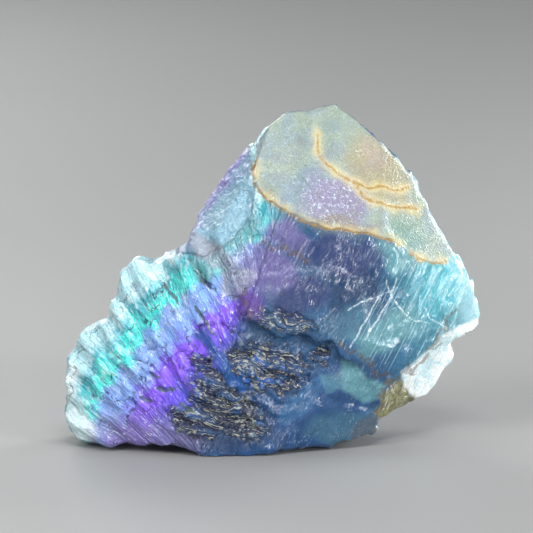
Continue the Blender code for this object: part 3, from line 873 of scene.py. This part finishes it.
def layLedges(s, tone):  # the low ledges, from nearly black to bright blue, and how strong each is, with where a painted highlight runs along each
    row, part, over, _ = rowPlaces(s.ledge, reliefSizes["ledgeWidth"], reliefSizes["ledgeLength"], s.ragged)
    chance = randomOf(s.tree, row, part)
    ledges = ramp(chance * 0.6 + s.blockChance * 0.4, ledgeBands, 0.0, 1.0)
    dark = (s.hackle + spread(s.medium, 0.8) + spread(s.small, 0.6)).step(0.1, 0.6)
    tone = mixed(tone, ledges, dark * (0.93 - s.z.step(24.0, 30.0) * 0.5))
    there = chance.step(0.25, 0.4) * s.hackle.step(0.15, 0.4) * (1.0 - s.top)
    # painted highlight: a thin line along one edge of each ledge
    return tone, (1.0 - (over * reliefSizes["ledgeWidth"]).step(0.06, 0.24)) * there


def paintHollowShadeCrestHighlight(s, tone):  # painted shade in the hollows and painted highlight on the crests, over small random changes of tone
    cavity = s.mark("cavity")
    tone = shaded(tone, ranged(s.small, 0.3, 0.7, 0.93, 1.07))
    tone = shaded(tone, ranged(s.fine, 0.3, 0.7, 0.88, 1.12))
    # painted shade: the hollows of the relief are darkened
    tone = shaded(tone, 1.0 - cavity.step(0.05, 0.45) * (0.5 - s.arm * 0.3))
    # painted highlight: the crests of the relief are paled towards ice
    crest = (cavity * -1.0).step(0.04, 0.35)
    return mixed(tone, tinted("ice"), crest * 0.35 * (1.0 - s.hackle))


def drawSeams(s, tone, ledgeHighlight):  # open seams between the columns, and painted highlights, silvery, on the ledges' edges and crests
    width, length = reliefSizes["columnWidth"], reliefSizes["columnLength"]
    side = 1.0 - (s.through * width).step(0.03, 0.2)
    chance = randomOf(s.tree, s.rib, s.block + 0.3).step(0.45, 0.5)
    end = (1.0 - (s.along * length).step(0.05, 0.4)) * chance
    seam = (side * s.small.step(0.36, 0.5) * 0.6).maths("MAXIMUM", end)
    tone = mixed(tone, tinted("ink"), seam * s.arm * 0.7)
    # painted highlights: silvery lines on the ledges' edges and on the crests of the fine relief
    ledgeHighlight = ledgeHighlight.maths("MAXIMUM", (1.0 - s.ridge.step(0.01, 0.05)) * s.hackle.step(0.1, 0.5))
    return mixed(tone, tinted("silverHighlight"), ledgeHighlight * (s.small * 0.7 + s.medium * 0.3).step(0.44, 0.56) * 0.75)


def drawScratches(s, tone):  # fine stripes and long pale lines on the right face
    straight, _, run = splitXyz(turned(s.place, "stripe"))
    wave = (straight * paint["stripeWaves"] + spread(s.medium, 1.5)).maths("SINE")
    broken = noiseOf(joinXyz(s.tree, straight * 0.9, 0.0, run * 0.12), 1.0, 1.0)
    stripe = wave.step(0.4, 1.0) * s.mark("right") * broken.step(0.5, 0.58)
    tone = mixed(tone, tinted("ice"), stripe * paint["stripe"])
    scratch = 1.0 - (s.mark("scratchGap") + spread(s.small, 0.3)).step(*paint["scratch"])
    return mixed(tone, tinted("white"), scratch * 0.6)


def drawLines(s, tone):  # clusters of pale hair lines, which are painted highlights on the crests of the fine relief, dark ones between them, and open cracks
    busy = s.cluster.step(0.48, 0.58)
    calm = 1.0 - s.mark("blueFacet") * 0.8
    clouded = s.mark("topLilac") * s.share["top"] * 0.7
    # painted highlights: how strongly the pale lines on the crests show in each zone
    pale = (s.share["panel"] * calm * 0.24 + s.share["bevel"] * 0.8) * busy + s.share["top"] * 0.15
    pale = pale + clouded + s.share["arm"] * s.cluster.step(0.4, 0.5) * 0.65
    line = 1.0 - s.ridge.step(*paint["crestHighlightLine"])
    tone = mixed(tone, tinted("white"), line * pale * s.small.step(0.44, 0.58))
    hair = 1.0 - (s.hairs - paint["darkLevel"]).maths("ABSOLUTE").step(*paint["darkLine"])
    tone = mixed(tone, tinted("ink"), hair * (s.share["arm"] * 0.5 + s.share["panel"] * 0.25))
    crack = 1.0 - (s.mark("crackGap") + spread(s.small, 0.3)).step(*paint["crack"])
    slot = (s.mark("slot") + spread(s.small, 0.3)).step(*paint["slot"])
    tone = mixed(tone, tinted("slotGrey"), slot * 0.8)
    return mixed(tone, tinted("ink"), crack * 0.75)


def drawStains(s, tone):  # a thin rusty line in a wider pale gold one, and faint brown lines
    gap = s.mark("stainGap")
    halo = 1.0 - (gap + spread(s.medium, 2.0) + spread(s.small, 1.8)).step(*paint["halo"])
    tone = mixed(tone, tinted("gold"), halo * (s.top * 0.5 + 0.1))
    core = 1.0 - (gap + spread(s.small, 1.1)).step(*paint["core"])
    tone = mixed(tone, tinted("amber"), core * 0.85)
    tone = mixed(tone, tinted("rust"), core * (s.small - 0.02).step(0.5, 0.6) * 0.7)
    faint = 1.0 - (s.mark("faintGap") + spread(s.small, 2.4)).step(*paint["faint"])
    return mixed(tone, tinted("bark"), faint * 0.6)


def stoneTone(s):
    tone, ledgeHighlight = layLedges(s, layZones(s, blockTone(s)))
    tone = drawSeams(s, paintHollowShadeCrestHighlight(s, tone), ledgeHighlight)
    return drawStains(s, drawLines(s, drawScratches(s, tone)))


def stoneHeight(s):  # relief too fine for the mesh, in millimetres
    share = s.share
    busy = s.cluster.step(0.46, 0.58)
    height = facetHeights(s.fan, 1.3, 3.4, 0.24) * share["arm"]
    depth = share["arm"] * 0.9 + share["hackle"] * 1.4 + share["bevel"] * 1.0 - share["top"] * 0.05
    height = height - s.ridge * (depth + share["panel"] * (busy * 0.4 + 0.24) + 0.1)
    height = height + spread(noiseOf(s.place, 2.4, 1.0), share["top"] * 0.12 + 0.06)
    return height + facetHeights(s.place, 1.9, 1.9, 0.16) * (share["panel"] * 0.7 + 0.3)


def rockMaterial():
    material = bpy.data.materials.new("bandedFluorite")
    material.use_nodes = True
    tree = material.node_tree
    tree.nodes.clear()
    s = StoneFields(tree)
    height = {"Height": stoneHeight(s), "Strength": 1.0, "Distance": 1.0 * mm}
    bump = out(addNode(tree, "ShaderNodeBump", height))
    rough = ranged(s.medium, 0.3, 0.7, *stone["roughness"])
    rough = rough + s.top * stone["topRoughness"] + s.bevel * stone["bevelRoughness"]
    shader = addNode(tree, "ShaderNodeBsdfPrincipled", {
        "Base Color": stoneTone(s), "Roughness": rough, "Normal": bump,
        "IOR": stone["refraction"], "Transmission Weight": stone["transmission"],
        "Subsurface Weight": stone["subsurface"], "Subsurface Scale": stone["glowDepth"] * mm,
        "Subsurface Radius": (1.0, 1.0, 1.0), "Coat Weight": stone["polish"],
        "Coat Roughness": stone["polishRoughness"], "Coat Normal": bump})
    absorb = addNode(tree, "ShaderNodeVolumeAbsorption",
                     {"Color": (*stone["absorption"], 1.0), "Density": stone["absorptionDensity"]})
    end = tree.nodes.new("ShaderNodeOutputMaterial")
    tree.links.new(shader.outputs[0], end.inputs["Surface"])
    tree.links.new(absorb.outputs[0], end.inputs["Volume"])
    return material


# The studio: a pale floor that curves up all round, soft lights, and the camera.
studio = {
    "floorRadius": 0.35,  # metres
    "curve": 1.0,
    "curveSteps": 12,
    "wall": 1.6,
    "grey": 0.29,
    "floorRoughness": 0.6,
    "world": (0.9, 0.95, 1.0),
    "worldStrength": 0.3,
    "lightAim": (0.0, 0.0, 0.035),
}

lights = [
    # name, place in metres, size, watts, tint
    ("backLeft", (-0.26, 0.62, 0.36), (0.35, 0.3), 1.6, (1.0, 1.0, 1.0)),
    ("backRight", (0.50, 0.42, 0.22), (0.3, 0.3), 3.4, (0.95, 1.0, 1.0)),
    ("lowRight", (0.42, -0.36, 0.06), (0.1, 0.16), 2.2, (0.95, 1.0, 1.0)),
    ("overhead", (0.0, 0.10, 0.75), (0.5, 0.3), 1.7, (1.0, 0.99, 0.97)),
    ("lowFront", (-0.12, -0.62, 0.05), (0.3, 0.08), 0.5, (0.97, 0.99, 1.0)),
    ("frontLeft", (-0.55, -0.60, 0.55), (0.34, 0.34), 5.0, (1.0, 0.99, 0.98)),
    ("frontRight", (0.60, -0.55, 0.30), (0.14, 0.26), 2.3, (1.0, 1.0, 1.0)),
    ("frontTop", (0.05, -0.45, 0.62), (0.26, 0.08), 2.4, (1.0, 1.0, 1.0)),
]


def studioMaterial():
    material = bpy.data.materials.new("paleBackdrop")
    material.use_nodes = True
    shader = material.node_tree.nodes["Principled BSDF"]
    shader.inputs["Base Color"].default_value = (studio["grey"],) * 3 + (1.0,)
    shader.inputs["Roughness"].default_value = studio["floorRoughness"]
    return material


def makeFloor():
    steps = studio["curveSteps"]
    radius, curve = studio["floorRadius"], studio["curve"]
    profile = [(0.0, 0.0), (radius, 0.0)]
    for i in range(1, steps + 1):
        turn = math.pi / 2 * i / steps
        profile.append((radius + curve * math.sin(turn), curve * (1.0 - math.cos(turn))))
    profile.append((radius + curve, studio["wall"]))
    shape = bmesh.new()
    verts = [shape.verts.new((x, 0.0, z)) for x, z in profile]
    edges = [shape.edges.new(pair) for pair in zip(verts[:-1], verts[1:])]
    bmesh.ops.spin(shape, geom=verts + edges, cent=(0, 0, 0), axis=(0, 0, 1),
                   angle=2 * math.pi, steps=96, use_merge=True)
    bmesh.ops.remove_doubles(shape, verts=shape.verts, dist=0.0001)
    bmesh.ops.recalc_face_normals(shape, faces=shape.faces)
    mesh = bpy.data.meshes.new("studioFloor")
    shape.to_mesh(mesh)
    shape.free()
    mesh.shade_smooth()
    mesh.materials.append(studioMaterial())
    floor = bpy.data.objects.new("studioFloor", mesh)
    bpy.context.scene.collection.objects.link(floor)
    return floor


def makeLights():
    world = bpy.context.scene.world or bpy.data.worlds.new("studio")
    bpy.context.scene.world = world
    world.use_nodes = True
    background = world.node_tree.nodes["Background"]
    background.inputs["Color"].default_value = (*studio["world"], 1.0)
    background.inputs["Strength"].default_value = studio["worldStrength"]
    for name, place, size, watts, tint in lights:
        lamp = bpy.data.lights.new(name, "AREA")
        lamp.shape, lamp.size, lamp.size_y = "RECTANGLE", size[0], size[1]
        lamp.energy, lamp.color = watts, tint
        holder = bpy.data.objects.new(name, lamp)
        holder.location = place
        aim = Vector(studio["lightAim"]) - Vector(place)
        holder.rotation_euler = aim.to_track_quat("-Z", "Y").to_euler()
        holder.visible_camera = False
        bpy.context.scene.collection.objects.link(holder)


def makeCamera():
    rise = math.radians(cameraView["elevation"])
    target = Vector(cameraView["target"]) * mm
    back = Vector((0.0, -math.cos(rise), math.sin(rise)))
    lens = bpy.data.cameras.new("photoCamera")
    lens.lens, lens.clip_start = cameraView["lens"], 0.01
    camera = bpy.data.objects.new("photoCamera", lens)
    camera.location = target + back * cameraView["distance"] * mm
    camera.rotation_euler = (-back).to_track_quat("-Z", "Y").to_euler()
    bpy.context.scene.collection.objects.link(camera)
    bpy.context.scene.camera = camera
    bpy.context.scene.view_settings.view_transform = "Standard"


makeCamera()
makeLights()
makeFloor()
print("studio ready")

rockPiece = giveRelief(markZones(fineSkin(copyOfNode("fluorite"))), rockMaterial())
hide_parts("fluorite")
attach(rockPiece, "root")
